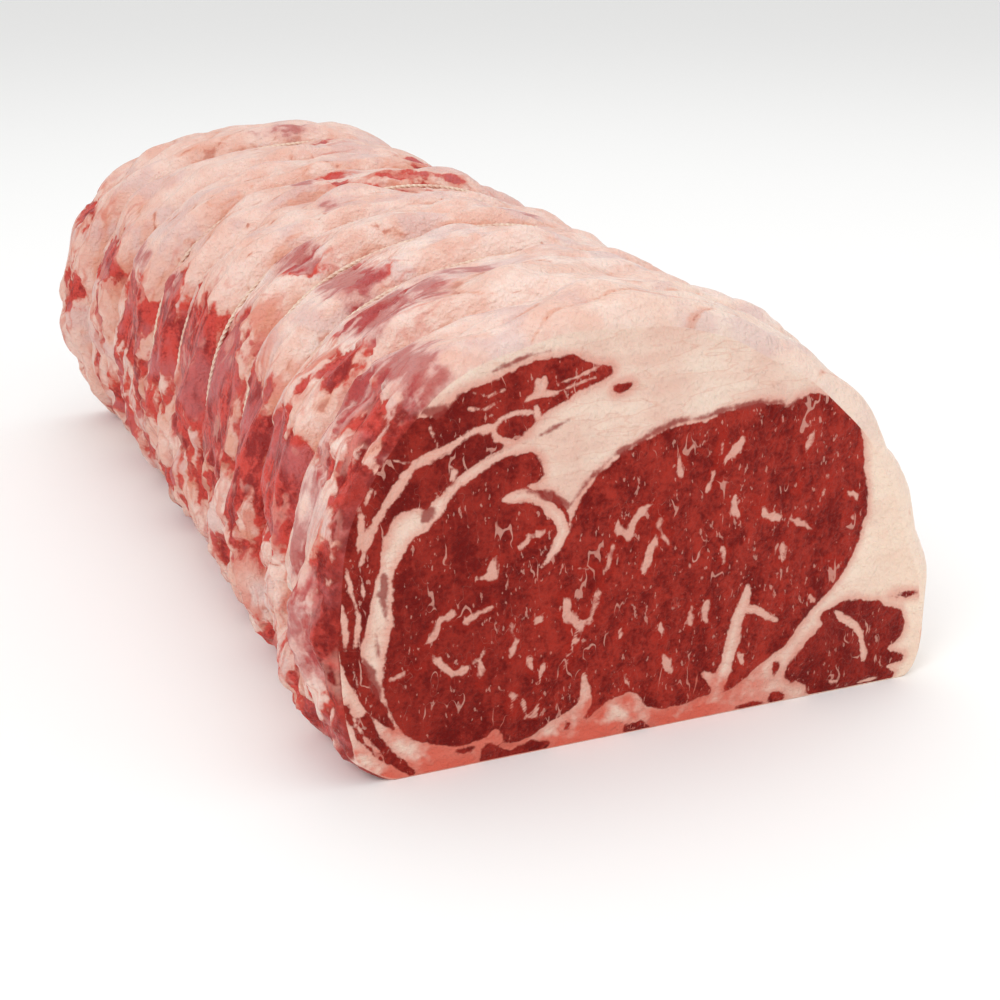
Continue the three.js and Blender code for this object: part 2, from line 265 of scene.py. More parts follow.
# Marbling in the eye and the corner muscle
MARBLING = [
    (1.7, [(-70, 37), (-66, 40), (-64.5, 44), (-60, 45), (-58.3, 42.5), (-55, 44), (-51, 45.7)]),
    (1.1, [(-66, 34.5), (-63.5, 31), (-61, 28.7), (-57, 30), (-54, 31.8), (-52.6, 35)]),
    (1.7, [(-64, 44.6), (-60, 46.2)]), (1, [(-54, 32), (-53.6, 28), (-54.2, 25)]),
    (1.1, [(-77, 30), (-73, 31.4), (-69, 32)]), (2.8, [(-50, 58), (-51, 54), (-54.5, 53.5)]),
    (1.6, [(-43.5, 60.8), (-41, 62.4), (-38, 63.6)]),
    (2.5, [(-31.5, 46), (-30.3, 40), (-27.6, 36), (-28.6, 31)]), (1, [(-29, 31), (-30, 27), (-31, 24)]),
    (2, [(-27, 37), (-24, 38.2), (-22, 42), (-21.6, 46)]), (1.6, [(-46, 40), (-44.5, 35), (-46, 30.5)]),
    (1.2, [(-39, 38.5), (-37, 41.2)]), (1, [(-36.5, 27), (-38, 21.5)]),
    (2, [(-47, 20.3), (-45, 19.6), (-46, 15.5)]), (1.1, [(-42.5, 18), (-41, 13)]),
    (1.1, [(-37.3, 17), (-38.5, 12.5)]), (1.1, [(-40.5, 30), (-40, 26.5)]),
    (1.4, [(-17.3, 63.5), (-16, 60.3), (-14, 58.3), (-12.3, 62), (-10.5, 65.2), (-7, 67)]),
    (1.6, [(-5, 64.5), (-5, 60), (-2.5, 55.6)]), (2.1, [(-6, 58), (-8, 52), (-9.3, 48.5)]),
    (1.1, [(-18, 57), (-19, 52.6), (-20.6, 49)]), (1.1, [(-27.5, 52.6), (-24.5, 51.2), (-21.5, 51.3)]),
    (1.7, [(0.4, 79), (0.6, 73.6)]), (1.1, [(12.6, 83), (12.4, 79.5)]),
    (1.6, [(18, 80.5), (15, 77.3), (12.2, 74.5)]), (1.1, [(12.4, 79), (11.3, 74.3), (10, 71)]),
    (1.5, [(10.7, 71), (8.6, 68)]), (2.5, [(22.6, 62.2), (24, 62.4), (26.5, 58.6), (30.5, 57.8)]),
    (1.5, [(34, 56.5), (37.5, 54.6), (41.5, 52.4)]), (1.1, [(45, 67), (44.6, 64), (43, 61)]),
    (1.1, [(52, 61), (54.3, 60.6), (55.6, 57.6)]), (1.1, [(52, 54.6), (56, 52.4)]),
    (1.6, [(46.6, 42.8), (49, 41.4), (51, 41)]), (1.1, [(35.5, 67.4), (35.6, 64)]),
    (1, [(17, 66), (16.6, 61.6), (18.6, 59.6)]), (1.2, [(5.2, 36.5), (5.2, 30.5)]),
    (1.3, [(9.7, 37), (9.6, 31)]), (1.2, [(-3.7, 32.5), (-3, 28)]), (1, [(-15, 34), (-15, 30.5)]),
    (1.6, [(-2.6, 24), (-1, 20), (0.3, 17.5)]), (1.2, [(-13, 20), (-12.3, 14)]),
    (1, [(32.3, 50), (32.6, 45)]), (1.1, [(13.8, 51.5), (14.2, 47)]), (1, [(39, 79), (37.8, 74.5)]),
    (1.1, [(20.5, 19.6), (22, 16.8)]), (1, [(42, 33), (43.2, 31.3)]), (1.1, [(33, 34), (33.4, 31)]),
]
# Silver skin and the darker seams where muscles meet
SILVER = [
    (1.7, [(-30.5, 69), (-27, 72.7), (-24, 75.7), (-18, 80.6), (-12, 83.4), (-7, 85.6), (0, 87.7), (8, 87.6),
           (14, 89), (22, 89.4), (29, 89), (32, 87), (35, 89)]),
    (1.5, [(-41.5, 74.6), (-37, 73.6), (-33, 71.3), (-30, 69.5)]),
    (0.8, [(-53, 84), (-47, 85.7), (-42, 86.8)]), (0.7, [(-38, 88.4), (-34, 90), (-30, 91.5)]),
    (3.2, [(-60, 98.7), (-65, 97), (-70, 98.5)]), (0.9, [(-62.5, 77.5), (-57.5, 81.4)]),
    (2.8, [(-68, 70.5), (-65, 73.5)]), (2.7, [(-78, 58), (-78.5, 52), (-77.7, 45.5)]),
    (1.8, [(-80.6, 44), (-80, 37)]), (2, [(-84, 37), (-81.8, 31), (-80, 25)]),
    (1.2, [(-50, 105.2), (-42, 108), (-35, 109)]),
]

# Patches of the skin: middle and half size, each as way round from the crown down the left
# side and place along the roast. Bare lean, with strings of fat across it:
LEAN_PATCHES = [
    # The left side and the top, from front to back
    (73, 8, 9, 13), (88, 6, 4, 8), (88, 18, 1.6, 12), (118, 9, 3.5, 6), (157, 9, 6, 13), (160, 30, 5, 14),
    (106, 56, 19, 17), (69, 44, 5, 8), (55, 57, 6, 4), (48, 50, 3, 7), (156, 57, 5, 8), (78, 55, 1.6, 2.6),
    (107, 90, 21, 18), (46, 82, 4, 3), (42, 95, 1.6, 11), (131, 90, 3, 5), (160, 80, 6, 4),
    (100, 127, 28, 17), (53, 121, 4, 6), (131, 127, 5, 10), (150, 117, 6, 8), (143, 103, 4, 4),
    (104, 160, 24, 18), (162, 155, 7, 6), (128, 147, 18, 4), (101, 201, 21, 17), (130, 205, 12, 7),
    (152, 203, 7, 7), (0, 194, 20, 1.8), (17, 203, 1.2, 6), (5, 180, 24, 2.8), (102, 241, 14, 21),
    (128, 228, 14, 6), (140, 245, 12, 3), (130, 256, 16, 3), (150, 235, 6, 5), (92, 284, 9, 15),
    (115, 280, 7, 3), (132, 292, 9, 2.5), (146, 275, 8, 3), (116, 299, 8, 2), (84, 328, 5, 9),
    (112, 322, 9, 6), (140, 330, 8, 4),
    # The right side
    (-28, 226, 10, 3), (-32, 256, 9, 2), (3, 272, 1.2, 10), (-66, 184, 2, 12), (-124, 118, 2.5, 18),
    (-98, 268, 2, 16), (-146, 52, 3, 16), (-148, 214, 3, 24), (-112, 324, 4, 10), (-88, 92, 1.5, 8),
    # The left side beside the main cut
    (128, 0, 38, 8), (150, 14, 16, 2.5), (118, 17, 10, 2), (140, 24, 12, 1.6),
    # The underside and its left edge
    (168, 16, 13, 18), (174, 50, 10, 13), (168, 79, 11, 11), (173, 107, 11, 13), (168, 138, 12, 15),
    (173, 172, 10, 13), (167, 202, 12, 12), (173, 236, 11, 14), (168, 268, 12, 12), (176, 302, 8, 14),
    (166, 330, 8, 9), (140, 22, 4, 7), (134, 68, 4, 8), (141, 168, 6, 9), (146, 276, 6, 7), (139, 44, 3, 6),
    (148, 190, 4, 7), (150, 85, 4, 5),
]
# Thin violet silver skin:
SILVER_PATCHES = [
    (60, 12, 7, 14), (76, 22, 11, 6), (52, 53, 10, 13), (49, 92, 9, 15), (53, 130, 6, 13), (24, 58, 8, 7),
    (84, 205, 4, 12), (83, 243, 4, 14), (4, 308, 16, 3), (95, 20, 4, 6), (31, 165, 3, 6), (28, 203, 4, 7),
    (-20, 128, 8, 5), (-72, 60, 4, 16), (-120, 112, 5, 26), (-62, 186, 5, 18), (-98, 262, 4, 24),
    (-138, 212, 5, 28), (-112, 322, 9, 13), (-45, 296, 9, 5), (40, 50, 5, 9), (112, 20, 9, 6),
    (128, 10, 16, 5),
]

# A run of fat is drawn out at its tips, and a patch is a square with very round corners
RUN_TIP, RUN_POWER = 0.3, 0.6
PATCH_POWER = 3
# The fields that each piece's points carry for the beef: depths in mm, and 1 on a cut
FIELDS = ("lean", "fleck", "silver", "crease", "cut")
# How the beef's noises are stretched: degrees of turn across the roast, and factors in x, y, z
STRETCHES = {"plain": (0, (1, 1, 1)), "stringy": (0, (0.3, 1, 0.3)), "upright": (0, (1, 1, 0.45)),
             "slanted": (32, (0.22, 1, 1))}
# Soft noises of the beef: the size of their lumps in mm, their stretch, and further octaves
BEEF_NOISES = {
    "patch": (22, "plain", 2), "blotch": (8, "plain", 3), "ripple": (2.8, "plain", 3),
    "grain": (1, "plain", 2), "shown": (10, "plain", 1), "webbed": (13, "plain", 1),
    "dust": (16, "plain", 2), "veil": (18, "plain", 2), "string": (2.4, "stringy", 3),
    "web": (5, "stringy", 1), "stain": (6.5, "stringy", 2), "vein": (5, "stringy", 2),
    "spur": (4, "upright", 1), "ridge": (5.5, "upright", 2), "speck": (1.1, "upright", 2),
    "band": (6, "upright", 3), "layer": (6, "slanted", 3),
}


# The solid's own shape


def quarter(u, power):
    """A quarter of a superellipse: u runs from 0 on the first axis to 1 on the second."""
    angle = u * np.pi / 2
    return np.cos(angle) ** (2 / power), np.sin(angle) ** (2 / power)


def heel(side, u):
    """One side of the section from its waist, at u = 0, down to its foot."""
    first, second = quarter(u, side.heel)
    return side.sign * (side.foot + (side.reach - side.foot) * first), side.waist * (1 - second)


def shoulder(side, u):
    """One side of the section from its waist, at u = 0, up to the crown."""
    first, second = quarter(u, side.shoulder)
    x = CROWN_X + (side.sign * side.reach - CROWN_X) * first
    return x, side.waist + (CROWN_HEIGHT - side.waist) * second


def outline():
    """The section, closed, anticlockwise seen from the main cut face, from the right foot."""
    steps = OUTLINE_STEPS // 4
    u = np.arange(steps) / steps
    parts = [heel(RIGHT, 1 - u), shoulder(RIGHT, u), shoulder(LEFT, 1 - u), heel(LEFT, np.append(u, 1))]
    x, z = (np.concatenate(values) for values in zip(*parts))
    return np.append(x, x[0]), np.append(z, z[0])


def section_columns(step, under_step):
    """Columns round the roast, step apart, or under_step on its underside."""
    x, z = outline()
    lengths = np.hypot(np.diff(x), np.diff(z))
    under = z[1:] + z[:-1] < 2 * UNDER_HEIGHT
    along = np.append(0, np.cumsum(lengths))
    weight = np.append(0, np.cumsum(lengths / np.where(under, under_step, step)))
    count = round(weight[-1] / RING_MULTIPLE) * RING_MULTIPLE
    at = np.interp(weight[-1] * (np.arange(count) + 0.5) / count, weight, along)

    def place(reach):
        wanted = reach % along[-1]
        return np.interp(wanted, along, x), np.interp(wanted, along, z)

    here_x, here_z = place(at)
    ahead_x, ahead_z = place(at + NORMAL_REACH)
    behind_x, behind_z = place(at - NORMAL_REACH)
    turn = np.hypot(ahead_x - behind_x, ahead_z - behind_z)
    return SimpleNamespace(
        count=count, x=here_x, z=here_z, nx=(ahead_z - behind_z) / turn, nz=(behind_x - ahead_x) / turn,
        share=at / along[-1], from_crown=at - along[OUTLINE_STEPS // 2])


def smooth(low, high, value):
    """A soft step from 0 at low to 1 at high."""
    t = np.clip((value - low) / (high - low), 0, 1)
    return t * t * (3 - 2 * t)


def side_of(cols):
    """From -1 at the left reach to almost 1 at the right one."""
    return cols.x / LEFT.reach


def left_of(cols, start):
    """From 0 in the middle and at the table to 1 at the left reach, above start."""
    return np.maximum(0, -side_of(cols)) * np.minimum(1, cols.z / start)


def tie_mean(i):
    """Tie number i's place along the roast; the ends count as ties."""
    if i < 0:
        return 0
    return TIES[i][0] if i < len(TIES) else LENGTH


def tie_at(i, cols):
    """Place along the roast where tie number i crosses each column."""
    if not 0 <= i < len(TIES):
        return np.full(cols.count, float(tie_mean(i)))
    at, across, up = TIES[i]
    return at + across * side_of(cols) + up * (cols.z / (CROWN_HEIGHT / 2) - 1)


def depth_at(cols):
    """Depth of the grooves under the twine."""
    to_right = smooth(*GROOVE_TURN, side_of(cols))
    return GROOVE_DEPTH_LEFT + (GROOVE_DEPTH_RIGHT - GROOVE_DEPTH_LEFT) * to_right


def pull(from_tie, half, cols, power):
    """How deep a tie draws in the meat at this distance from it."""
    near = np.clip((from_tie - GROOVE_HALF / 2) / (half - GROOVE_HALF / 2), 0, 1)
    return depth_at(cols) * (1 - near) ** power


def end_inset(from_end, cols):
    """How far the rounded edge of an end lies inside the section."""
    side = (1 + cols.x / RIGHT.reach) / 2
    full = EDGE_INSET_LEFT + (EDGE_INSET_RIGHT - EDGE_INSET_LEFT) * side
    inset = EDGE_INSET_UNDER + (full - EDGE_INSET_UNDER) * np.minimum(1, cols.z / LEFT.waist)
    way = np.clip(1 - from_end / EDGE_ROUND, 0, 1)
    return inset * (1 - np.sqrt(1 - way * way))


def skin_points(cols, y, depth):
    """Points of the section at y, moved in by depth, in the row frame in mm."""
    back = y / LENGTH
    bulge = BACK_LEFT_BULGE * back * back * left_of(cols, LEFT.waist)
    x = cols.x * (1 + BACK_SPREAD * back) - bulge - cols.nx * depth
    z = cols.z * (1 + BACK_RISE * back) - cols.nz * depth
    return np.stack([x - CENTRE_X, y - CENTRE_Y, np.maximum(0, z - REST_SINK)], -1)


def lobe_rows(cols, lobe, shares):
    """Rows of one lobe at these shares of its length: y, depth, and the distances to the
    nearest tie and to the tie in front."""
    front, back = tie_at(lobe - 1, cols), tie_at(lobe, cols)
    y = front + np.asarray(shares)[:, None] * (back - front)
    half = (back - front) / 2
    depth = np.zeros_like(y)
    near = np.full_like(y, FAR)
    if lobe > 0:
        depth += pull(y - front, half, cols, AFTER_POWER)
        near = np.minimum(near, y - front)
    if lobe < len(TIES):
        depth += pull(back - y, half, cols, BEFORE_POWER)
        near = np.minimum(near, back - y)
    free = 1 - np.minimum(1, depth / depth_at(cols))
    above = np.minimum(1, cols.z / RIGHT.waist)
    calm = EDGE_CALM + (1 - EDGE_CALM) * np.clip(np.minimum(y, LENGTH - y) / EDGE_ROUND, 0, 1)
    waves = sum(high * np.sin(2 * np.pi * (turns * cols.share + y / length) + phase + LOBE_PHASE * lobe)
                for turns, length, high, phase in LUMPS)
    depth -= (waves * above * calm + LOBE_SWELL[lobe] * left_of(cols, SWELL_FROM)) * free
    depth += end_inset(y, cols) + end_inset(LENGTH - y, cols)
    return y, depth, near, y - front if lobe > 0 else near * 0 + FAR


# The finer relief and what lies on the surface


def noise_at(points, name):
    """One of the soft noises at these points; it swings by about half its height each way."""
    size, seed, height = NOISES[name]
    scaled = points.reshape(-1, 3) / np.array(size) + SEED_SHIFT * seed
    values = np.array([noise.noise(place) for place in scaled.tolist()])
    return values.reshape(points.shape[:-1]) * height


def bell(value, reach):
    """1 where the value is 0, falling off softly over about the reach."""
    return np.exp(-(value / reach) ** 2)


def between(cols, ranges):
    """1 between two ways round from the crown, with a soft start and a soft end."""
    start, end = ranges
    return smooth(*start, cols.from_crown) * smooth(*end, cols.from_crown)


def groove_sink(cols):
    return GROOVE_SINK * np.minimum(1, cols.z / RELIEF_HEIGHT)


def relief(points, cols, near, after, lean):
    """Lumps, folds and strings that are finer than the solid's, in mm outwards, and the
    distance to the nearest valley between them."""
    torn = between(cols, TORN)
    lobed = between(cols, LOBED)
    by_tie = bell(near, FOLD_REACH)
    clump = np.abs(noise_at(points, "clumps"))
    flap = np.abs(noise_at(points, "flaps"))
    fine = noise_at(points, "lumps") * (1 - torn) + noise_at(points, "hanging") * torn
    swell = CLUMP_ALL + CLUMP_LOBED * lobed + CLUMP_TORN * torn
    fine += clump * swell * (1 - CLUMP_PRESSED * by_tie) + flap * FLAP_SWELL * torn
    fine += noise_at(points, "grain") * (GRAIN_ALL + GRAIN_TORN * torn)
    fine += noise_at(points, "folds") * by_tie - BARE_SINK * smooth(-BARE_EDGE, BARE_EDGE, lean)
    fine += LIP_HEIGHT * bell(after - LIP_PLACE, LIP_REACH)
    fine *= (1 - ALL_PRESSED * bell(near, TIE_CALM_REACH)) * np.minimum(1, cols.z / RELIEF_HEIGHT)
    # Valleys lie where the noise of the clumps changes sign; the beef's colour paints shade into them
    rim = VALLEY_RIM + (1 - torn) * VALLEY_RIM_SMOOTH + flap * VALLEY_RIM_FLAP
    valley = VALLEY_LEAST + (1 - lobed) * VALLEY_PLAIN + np.minimum(clump * VALLEY_SLOPE, rim)
    return fine - groove_sink(cols) * bell(near, GROOVE_SINK_REACH), valley


def to_stretch(x, z, ax, az, dx, dz):
    """Distance to one straight stretch, and the share of it at the nearest point."""
    t = np.clip(((x - ax) * dx + (z - az) * dz) / (dx * dx + dz * dz), 0, 1)
    return np.hypot(x - ax - t * dx, z - az - t * dz), t


def to_line(x, z, ends):
    """Distance to a run of straight stretches, and how far along the run the nearest point is."""
    best = np.full(x.shape, np.inf)
    along = np.zeros(x.shape)
    stops = np.append(0, np.cumsum([math.dist(a, b) for a, b in zip(ends, ends[1:])]))
    for (ax, az), (bx, bz), start, stop in zip(ends, ends[1:], stops, stops[1:]):
        far, t = to_stretch(x, z, ax, az, bx - ax, bz - az)
        nearer = far < best
        best = np.where(nearer, far, best)
        along = np.where(nearer, (start + t * (stop - start)) / stops[-1], along)
    return best, along


def run_depth(x, z, runs):
    """How deep a point lies in the nearest run, which is drawn out at its ends: above 0
    inside it, in mm."""
    best = np.full(x.shape, -FAR)
    for width, ends in runs:
        far, along = to_line(x, z, ends)
        half = width / 2 * (RUN_TIP + (1 - RUN_TIP) * np.sin(np.pi * along) ** RUN_POWER)
        best = np.maximum(best, half - far)
    return best


def rounded(corners, cuts=3):
    """A closed smooth curve through the corners."""
    p = np.array(corners, float)
    before, after, beyond = np.roll(p, 1, 0), np.roll(p, -1, 0), np.roll(p, -2, 0)
    curve = []
    for t in np.arange(cuts) / cuts:
        curve.append(0.5 * (2 * p + (after - before) * t + (2 * before - 5 * p + 4 * after - beyond) * t ** 2
                            + (3 * p - before - 3 * after + beyond) * t ** 3))
    return np.stack(curve, 1).reshape(-1, 2)


def muscle_depth(x, z, corners):
    """How deep a point lies in a muscle: above 0 inside it, in mm."""
    curve = rounded(corners)
    ring = np.vstack([curve, curve[:1]])
    inside = np.zeros(x.shape, bool)
    best = np.full(x.shape, np.inf)
    for (ax, az), (bx, bz) in zip(ring, ring[1:]):
        dx, dz = bx - ax, bz - az
        crossing = (az > z) != (bz > z)
        if dz:
            inside ^= crossing & (x < ax + (z - az) * dx / dz)
        best = np.minimum(best, to_stretch(x, z, ax, az, dx, dz)[0])
    return np.where(inside, best, -best)


def back_place(x, z):
    """The muscles of the back cut are those of the main one, grown a little differently."""
    high, length, phase = BACK_WAVE_X
    grown_x = x * BACK_GROWTH_X + high * np.sin(z / length + phase)
    high, length, phase = BACK_WAVE_Z
    wave = high * np.sin(x / length + phase) * np.minimum(1, z / BACK_WAVE_CALM)
    return grown_x, z * BACK_GROWTH_Z + wave


def cut_pattern(x, z):
    """What lies at a point of a cut face: depth in lean, in marbling and in silver skin, in mm."""
    lean = np.full(x.shape, -FAR)
    for corners in MUSCLES:
        lean = np.maximum(lean, muscle_depth(x, z, corners))
    for spot_x, spot_z, half_x, half_z in RED_SPOTS:
        off = np.hypot((x - spot_x) / half_x, (z - spot_z) / half_z)
        lean = np.maximum(lean, (1 - off) * min(half_x, half_z))
    lean = np.minimum(lean, -run_depth(x, z, FAT_RUNS))
    return lean, run_depth(x, z, MARBLING), run_depth(x, z, SILVER)


def patch_depth(reach, y, patches):
    """How deep a point lies in the nearest patch, which is a square with very round corners:
    above 0 inside it, in mm."""
    best = np.full(y.shape, -FAR)
    for middle, along, half_reach, half_along in patches:
        across = np.abs((reach - middle) / half_reach) ** PATCH_POWER
        off = (across + np.abs((y - along) / half_along) ** PATCH_POWER) ** (1 / PATCH_POWER)
        outside = np.hypot(reach - middle, y - along) * (1 / np.maximum(off, 1) - 1)
        best = np.maximum(best, np.where(off < 1, (1 - off) * min(half_reach, half_along), outside))
    return best


def skin_pattern(cols, y, points):
    """What lies at a point of the skin: depth in lean and in silver skin, in mm."""
    reach = np.broadcast_to(cols.from_crown, y.shape)
    torn = noise_at(points, "torn") + noise_at(points, "torn strings")
    soft = noise_at(points, "soft") + noise_at(points, "soft edge")
    frayed = soft + (torn - soft) * smooth(*TORN_PATTERN_FROM, cols.from_crown)
    silver = patch_depth(reach, y, SILVER_PATCHES) + frayed * SILVER_FRAYED
    return patch_depth(reach, y, LEAN_PATCHES) + frayed, silver


# Meshes


def closed_shell(rings):
    """Points and faces of a closed body from rings along it, front to back, where a ring may
    have half as many points as the next one and the first and last are single points."""
    starts = np.cumsum([0] + [len(ring) for ring in rings])
    faces = []
    for before, after, start, nxt in zip(rings, rings[1:], starts, starts[1:]):
        a, b = len(before), len(after)
        if a == b:
            i = np.arange(a)
            j = (i + 1) % a
            faces += np.stack([nxt + i, nxt + j, start + j, start + i], 1).tolist()
            continue
        outer, inner, many, few = (nxt, start, b, a) if b > a else (start, nxt, a, b)
        if few == 1:
            i = np.arange(many)
            j = (i + 1) % many
            made = [np.stack([np.full(many, inner), outer + i, outer + j], 1)]
        else:
            i = np.arange(few)
            j = (i + 1) % few
            made = [np.stack([outer + 2 * i, outer + 2 * i + 1, inner + i], 1),
                    np.stack([outer + 2 * i + 1, outer + 2 * j, inner + j], 1),
                    np.stack([outer + 2 * i + 1, inner + j, inner + i], 1)]
        for triangles in made:
            faces += (triangles if b > a else triangles[:, ::-1]).tolist()
    return np.concatenate(rings), faces


def lobe_shares(lobe, step, last):
    """Shares of a lobe's length for its rows, the last lobe's with its far end."""
    mean = tie_mean(lobe) - tie_mean(lobe - 1)
    stations = np.linspace(0, mean, STATIONS)
    at_front, at_back = lobe == 0, lobe == len(TIES)
    from_tie = np.minimum(FAR if at_front else stations, FAR if at_back else mean - stations)
    from_end = np.minimum(stations if at_front else FAR, mean - stations if at_back else FAR)
    crowd = TIE_CROWD * bell(from_tie, TIE_CROWD_REACH) + EDGE_CROWD * bell(from_end, EDGE_CROWD_REACH)
    density = (1 + crowd) / step
    total = np.append(0, np.cumsum((density[1:] + density[:-1]) / 2 * np.diff(stations)))
    count = round(total[-1])
    shares = np.interp(np.arange(count) / count, total / total[-1], stations / mean)
    return np.append(shares, 1) if last else shares


def face_shares(count, step):
    """Shares of the way out from a face's middle for its rings, edge first, each with its
    count of points, which is halved wherever they stand too close."""
    full = count
    share = 1 - step / FACE_REACH
    shares = []
    while share > INNER_SHARE:
        while share < 0.5 * count / full and count % 2 == 0 and count > FEWEST_POINTS:
            count //= 2
        shares.append((share, count))
        share -= step / FACE_REACH
    return shares


def rings_inwards(edge, step, flat):
    """Rings from the edge of an end to its middle, each with its share of the way out. Where
    the end isn't flat they keep the edge's own places along the roast."""
    middle = np.array([FACE_CENTRE[0] - CENTRE_X, edge[:, 1].mean(), FACE_CENTRE[1]])
    rings = []
    for share, count in face_shares(len(edge), step):
        ring = edge[::len(edge) // count]
        points = middle + (ring - middle) * share
        if not flat:
            points[:, 1] = ring[:, 1]
        rings.append((points, share))
    return rings + [(middle[None], 0)]


def cut_end(edge, step, outwards):
    """Rings of a cut face from its edge inwards, each with the values of its fields."""
    rings = []
    for points, share in rings_inwards(edge, step, False):
        x, z = points[:, 0] + CENTRE_X, points[:, 2] + REST_SINK
        lean, fleck, silver = cut_pattern(*(back_place(x, z) if outwards > 0 else (x, z)))
        high = CUT_LEAN_SWELL * np.tanh(lean) - CUT_SEAM_SINK * bell(silver - 0.5, 1)
        high += noise_at(points, "cut") + noise_at(points, "cut grain")
        high *= min(1, (1 - share) * CUT_GROW_IN)
        points[:, 1] += outwards * (FACE_BULGE * (1 - share * share) + high)
        rings.append((points, lean, fleck, silver, FAR, 1))
    return rings


def hidden_end(cols, y, depth, fields, outwards):
    """Rings of the plain end that reaches into the next piece, a little under its skin."""
    edge = skin_points(cols, y + outwards * SPLIT_OVERLAP, depth + SPLIT_SINK)
    inner = [(points, -FAR, -FAR, -FAR, FAR, 0) for points, _ in rings_inwards(edge, HIDDEN_STEP, True)]
    return [(edge, *fields), *inner]


def meat_piece(name, lobes, settings, step, face_step, cut_front, cut_back):
    """One closed piece of the roast over these lobes, with its cut face or faces."""
    cols = section_columns(step, settings.under_step / MM)
    rows = [lobe_rows(cols, lobe, lobe_shares(lobe, step, lobe == lobes[-1])) for lobe in lobes]
    y, depth, near, after = (np.concatenate(values) for values in zip(*rows))
    base = skin_points(cols, y, depth)
    lean, silver = skin_pattern(cols, y, base)
    high, valley = relief(base, cols, near, after, lean)
    depth = depth - high * smooth(*EDGE_CALM_RANGE, np.minimum(y, LENGTH - y)) * settings.relief
    skin = skin_points(cols, y, depth)
    # Distance to the nearest tie or valley, where the beef's colour paints shade
    crease = np.minimum(near, valley)
    rings = [(skin[r], lean[r], -FAR, silver[r], crease[r], 0) for r in range(len(skin))]
    ends = []
    for row, is_cut, outwards in ((0, cut_front, -1), (-1, cut_back, 1)):
        if is_cut:
            ends.append(cut_end(skin[row], face_step, outwards))
        else:
            ends.append(hidden_end(cols, y[row], depth[row], rings[row][1:], outwards))
    rings = ends[0][::-1] + rings + ends[1]

    points, faces = closed_shell([ring[0] for ring in rings])
    mesh = bpy.data.meshes.new(name)
    mesh.from_pydata((points * MM).tolist(), [], faces)
    for i, field in enumerate(FIELDS, 1):
        values = np.concatenate([np.broadcast_to(ring[i], len(ring[0])) for ring in rings])
        layer = mesh.attributes.new(field, "FLOAT", "POINT")
        layer.data.foreach_set("value", values.astype(np.float32))
    mesh.validate()
    mesh.materials.append(raw_beef())
    return new_object(name, mesh)


def new_object(name, mesh):
    made = bpy.data.objects.new(name, mesh)
    bpy.context.scene.collection.objects.link(made)
    for polygon in mesh.polygons:
        polygon.use_smooth = True
    return made


# Materials


def linear(hex_colour):
    """An sRGB hex colour as linear red, green, blue and alpha."""
    values = [int(hex_colour[i:i + 2], 16) / 255 for i in (1, 3, 5)]
    return (*(v / 12.92 if v <= 0.04045 else ((v + 0.055) / 1.055) ** 2.4 for v in values), 1)


def add_node(tree, kind, links=None, **settings):
    """Adds a node with its settings; a socket given for an input is linked, a value is set.
    Returns the first of the node's outputs that is in use."""
    made = tree.nodes.new(kind)
    for name, value in settings.items():
        setattr(made, name, value)
    for key, value in (links or {}).items():
        if isinstance(value, bpy.types.NodeSocket):
            tree.links.new(value, made.inputs[key])
        else:
            made.inputs[key].default_value = value
    return next((socket for socket in made.outputs if socket.enabled), None)


def new_material(name):
    """An empty node material, and the call that adds a node to it."""
    material = bpy.data.materials.new(name)
    material.use_nodes = True
    material.node_tree.nodes.clear()
    return material, functools.partial(add_node, material.node_tree)


def weighted_sum(add, terms):
    """Each term is a socket and its weight."""
    total = 0
    for source, weight in terms:
        total = add("ShaderNodeMath", {0: source, 1: weight, 2: total}, operation="MULTIPLY_ADD")
    return total


def share_where(add, source, low, high, to=(0, 1), limits=()):
    """A share that goes softly from to[0] to to[1] while the source, which is a socket or the
    terms of a sum, goes from low to high. The limits multiply it."""
    if not isinstance(source, bpy.types.NodeSocket):
        source = weighted_sum(add, source)
    share = add("ShaderNodeMapRange", {0: source, 1: low, 2: high, 3: to[0], 4: to[1]},
                interpolation_type="SMOOTHSTEP")
    for limit in limits:
        share = add("ShaderNodeMath", {0: share, 1: limit}, operation="MULTIPLY")
    return share


def layered(add, ground, *layers):
    """A ground colour under further layers, which are given as a share and a colour in turn.
    A colour is a socket or hex."""
    result = linear(ground) if isinstance(ground, str) else ground
    for share, colour in zip(layers[::2], layers[1::2]):
        colour = linear(colour) if isinstance(colour, str) else colour
        result = add("ShaderNodeMix", {0: share, 6: result, 7: colour}, data_type="RGBA")
    return result


